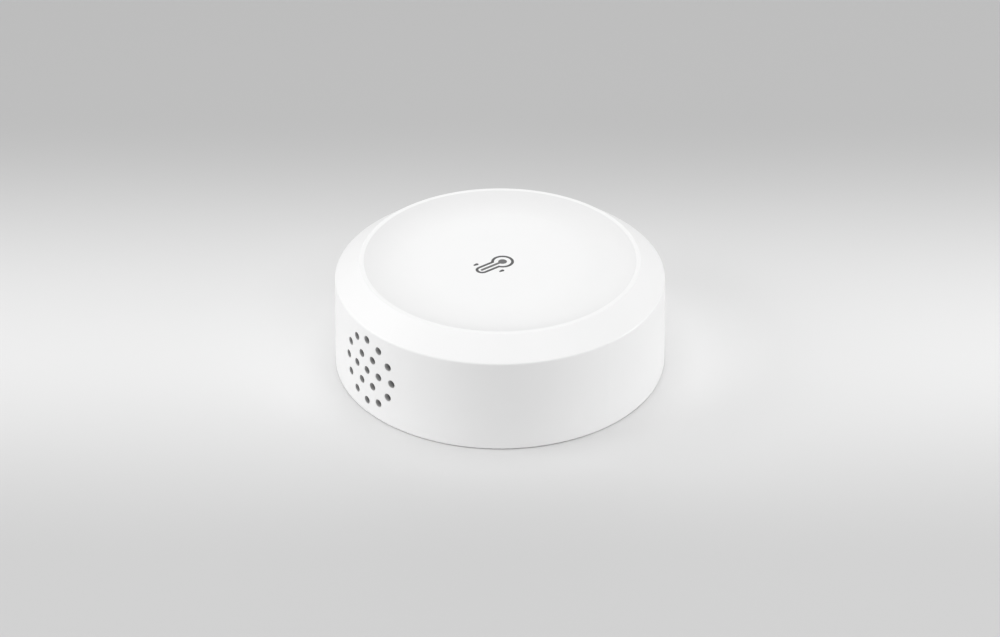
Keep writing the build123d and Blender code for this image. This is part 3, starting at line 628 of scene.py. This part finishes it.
def stroke(shape, centre, radius, start, sweep, width=0.5, steps=24):
    """A curved band of even width: one short edge spun about a centre."""
    angle = math.radians(start)
    ends = [shape.verts.new((centre[0] + r * math.cos(angle), centre[1] + r * math.sin(angle), 0.0))
            for r in (radius - width / 2, radius + width / 2)]
    edge = shape.edges.new(ends)
    bmesh.ops.spin(
        shape, geom=ends + [edge], cent=(centre[0], centre[1], 0.0), axis=(0.0, 0.0, 1.0),
        angle=math.radians(sweep), steps=steps)


def bar(shape, centre, width, height):
    """A plain rectangle."""
    bmesh.ops.create_grid(shape, x_segments=1, y_segments=1, size=0.5, matrix=(
        Matrix.Translation((*centre, 0.0)) @ Matrix.Diagonal((width, height, 1.0, 1.0))))


def padlock(shape, angle, opened):
    """A padlock at an angle around the base, shackle outwards; an open one lifts its shackle."""
    old = set(shape.verts)
    lift = SHACKLE_LIFT if opened else 0.0
    outline(shape, *[((x, y), CORNER_RADIUS, start, 90.0, 6) for x, y, start in (
        (CORNER_X, CORNER_Y, 0.0), (-CORNER_X, CORNER_Y, 90.0),
        (-CORNER_X, -CORNER_Y, 180.0), (CORNER_X, -CORNER_Y, 270.0))])
    stroke(shape, (0.0, BODY_TOP + lift), SHACKLE_RADIUS, 0.0, 180.0, SHACKLE_WIDTH)
    if opened:
        bar(shape, (-SHACKLE_RADIUS, BODY_TOP + lift / 2), SHACKLE_WIDTH, lift)
    fresh = [v for v in shape.verts if v not in old]
    turn = Matrix.Rotation(math.radians(angle - 90.0), 3, "Z")
    bmesh.ops.rotate(shape, cent=(0.0, 0.0, 0.0), matrix=turn, verts=fresh)
    place = direction(math.radians(angle + 90.0), 0.0) * SIGN_RADIUS
    bmesh.ops.translate(shape, vec=place, verts=fresh)


def raise_below(shape, face):
    """Give a drawing its thickness, proud below a face that looks down and rooted above it."""
    plate(shape, SIGN_RISE + SIGN_ROOT)
    bmesh.ops.translate(shape, vec=(0.0, 0.0, face / MM - SIGN_RISE), verts=shape.verts)


turn_signs = bmesh.new()
stroke(turn_signs, (0.0, 0.0), SIGN_RADIUS, ARROW_START, ARROW_SWEEP)
head_angle = math.radians(ARROW_START) - ARROW_HEAD / 2 / SIGN_RADIUS
bmesh.ops.create_circle(turn_signs, cap_ends=True, segments=3, radius=ARROW_HEAD, matrix=(
    Matrix.Rotation(head_angle, 4, "Z") @ Matrix.Translation((SIGN_RADIUS, 0.0, 0.0))
    @ Matrix.Rotation(math.pi, 4, "Z")))
padlock(turn_signs, 298.0, opened=False)
padlock(turn_signs, 238.0, opened=True)
raise_below(turn_signs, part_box("base_cover")[0].z)
sign_white = moulded("sign_white", grey(0.86), grey(0.84), 0.35)
finished(turn_signs, "turn_signs", sign_white, "base")

# %% [markdown]
# ## Signs in the battery bay
# With the base off, small plus and minus signs beside the ends of each cell show which way it
# goes in. They belong to the tray's mould, so they have its finish and its colour.

# %% Polarity signs
SIGN_ARM = 1.9
SIGN_STROKE = 0.5
SIGN_END = 19.5
SIGN_ASIDE = 8.3

poles = bmesh.new()
for cell, side in (("battery_a", 1.0), ("battery_b", -1.0)):
    lane = sum(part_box(cell), Vector()).y / 2 / MM
    plus, minus = ((side * SIGN_END * end, lane + side * SIGN_ASIDE) for end in (1.0, -1.0))
    bar(poles, minus, SIGN_ARM, SIGN_STROKE)
    bar(poles, plus, SIGN_ARM, SIGN_STROKE)
    reach = (SIGN_ARM - SIGN_STROKE) / 2
    for up in (-1.0, 1.0):
        bar(poles, (plus[0], plus[1] + up * (SIGN_STROKE + reach) / 2), SIGN_STROKE, reach)
raise_below(poles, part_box("battery_tray")[0].z)
pole_grey = moulded("pole_grey", grey(0.60), grey(0.57), 0.40)
finished(poles, "polarity_signs", pole_grey, "housing")

# %% [markdown]
# ## Floor
# The photograph's backdrop is a soft band of light: brightest beside the puck, and greyer towards
# the camera and far behind. The floor is one plane, and its paint follows the distance behind
# the puck, along the way the camera looks: one soft step up to the puck and one down after it.
# The lamps light the left a little more, so the paint is a little darker there.

# %% Floor
FLOOR_REACH = 3.0
PAINT_FRONT, PAINT_RISE, PAINT_DROP = 0.602, 0.223, 0.331
BAND_START, BAND_TOP, BAND_END = -63.0 * MM, -0.5 * MM, 97.0 * MM
SIDE_SLOPE, SIDE_REACH = 0.22, 0.15

floor_mesh = bpy.data.meshes.new("floor")
plane = bmesh.new()
bmesh.ops.create_grid(plane, x_segments=1, y_segments=1, size=FLOOR_REACH)
plane.to_mesh(floor_mesh)
plane.free()
floor = bpy.data.objects.new("floor", floor_mesh)
bpy.context.scene.collection.objects.link(floor)

floor_paint = Finish("floor_paint", {"Roughness": 0.9, "Specular IOR Level": 0.1})
behind, aside = (
    floor_paint.node("VectorMath", {"operation": "DOT_PRODUCT"}, {
        0: floor_paint.place, 1: tuple(direction(VIEW_AZIMUTH + turn, 0.0))}, out="Value")
    for turn in (math.pi, math.pi / 2))
band = (PAINT_FRONT + PAINT_RISE * behind.fade(BAND_START, BAND_TOP)
        - PAINT_DROP * behind.fade(BAND_TOP, BAND_END))
evened = 1 + SIDE_SLOPE * aside.at_least(-SIDE_REACH).at_most(SIDE_REACH)
floor_paint.feed("Base Color", band * evened)
floor_mesh.materials.append(floor_paint.material)
print("floor paint from", PAINT_FRONT, "up to", round(PAINT_FRONT + PAINT_RISE, 3))

# %% [markdown]
# ## Lamps
# A soft overhead lamp carries the top. Large soft lamps at both sides lift the wall's left and
# right, so that its middle stays the darkest part, and two weak ones behind put a sheen on the
# dish. Most of them stand low: they light the upright wall well and the flat floor hardly at all,
# so the puck's shadow stays faint, as in the photograph.
# The levels are low enough that a colour renders about as it is written.

# %% Lamps
LAMP_DISTANCE = 0.8
LAMP_TARGET = Vector((0.0, 0.0, 10.0 * MM))
# name, azimuth from the camera to its right, elevation, width and height in metres, watts
LAMPS = (
    ("overhead", 0, 89, 0.6, 0.6, 2.28),
    ("behind", 180, 33, 0.4, 0.3, 0.30),
    ("behind_low", 180, 15, 0.6, 0.2, 0.44),
    ("left", -85, 25, 0.4, 0.4, 1.79),
    ("left_low", -85, 8, 0.4, 0.2, 0.56),
    ("front_low", -30, 12, 0.4, 0.2, 0.68),
    ("right_front", 50, 50, 0.4, 0.4, 0.82),
    ("right_low", 90, 6, 0.4, 0.15, 2.05),
)
for name, azimuth, elevation, width, height, watts in LAMPS:
    away = direction(VIEW_AZIMUTH + math.radians(azimuth), math.radians(elevation))
    light = bpy.data.lights.new(name, "AREA")
    light.shape = "RECTANGLE"
    light.size = width
    light.size_y = height
    light.energy = watts
    lamp = bpy.data.objects.new(name, light)
    lamp.location = LAMP_TARGET + LAMP_DISTANCE * away
    lamp.rotation_euler = away.to_track_quat("Z", "Y").to_euler()
    bpy.context.scene.collection.objects.link(lamp)
print(len(LAMPS), "lamps,", round(sum(lamp[-1] for lamp in LAMPS), 2), "W in all")

# %% [markdown]
# ## The room's light
# A plain white world fills the shadows. The Standard view shows colours as they are.

# %% World
WORLD_STRENGTH = 0.45
world = bpy.data.worlds.new("studio")
world.use_nodes = True
sky = world.node_tree.nodes["Background"]
sky.inputs["Color"].default_value = grey(1.0)
sky.inputs["Strength"].default_value = WORLD_STRENGTH
bpy.context.scene.world = world
bpy.context.scene.view_settings.view_transform = "Standard"
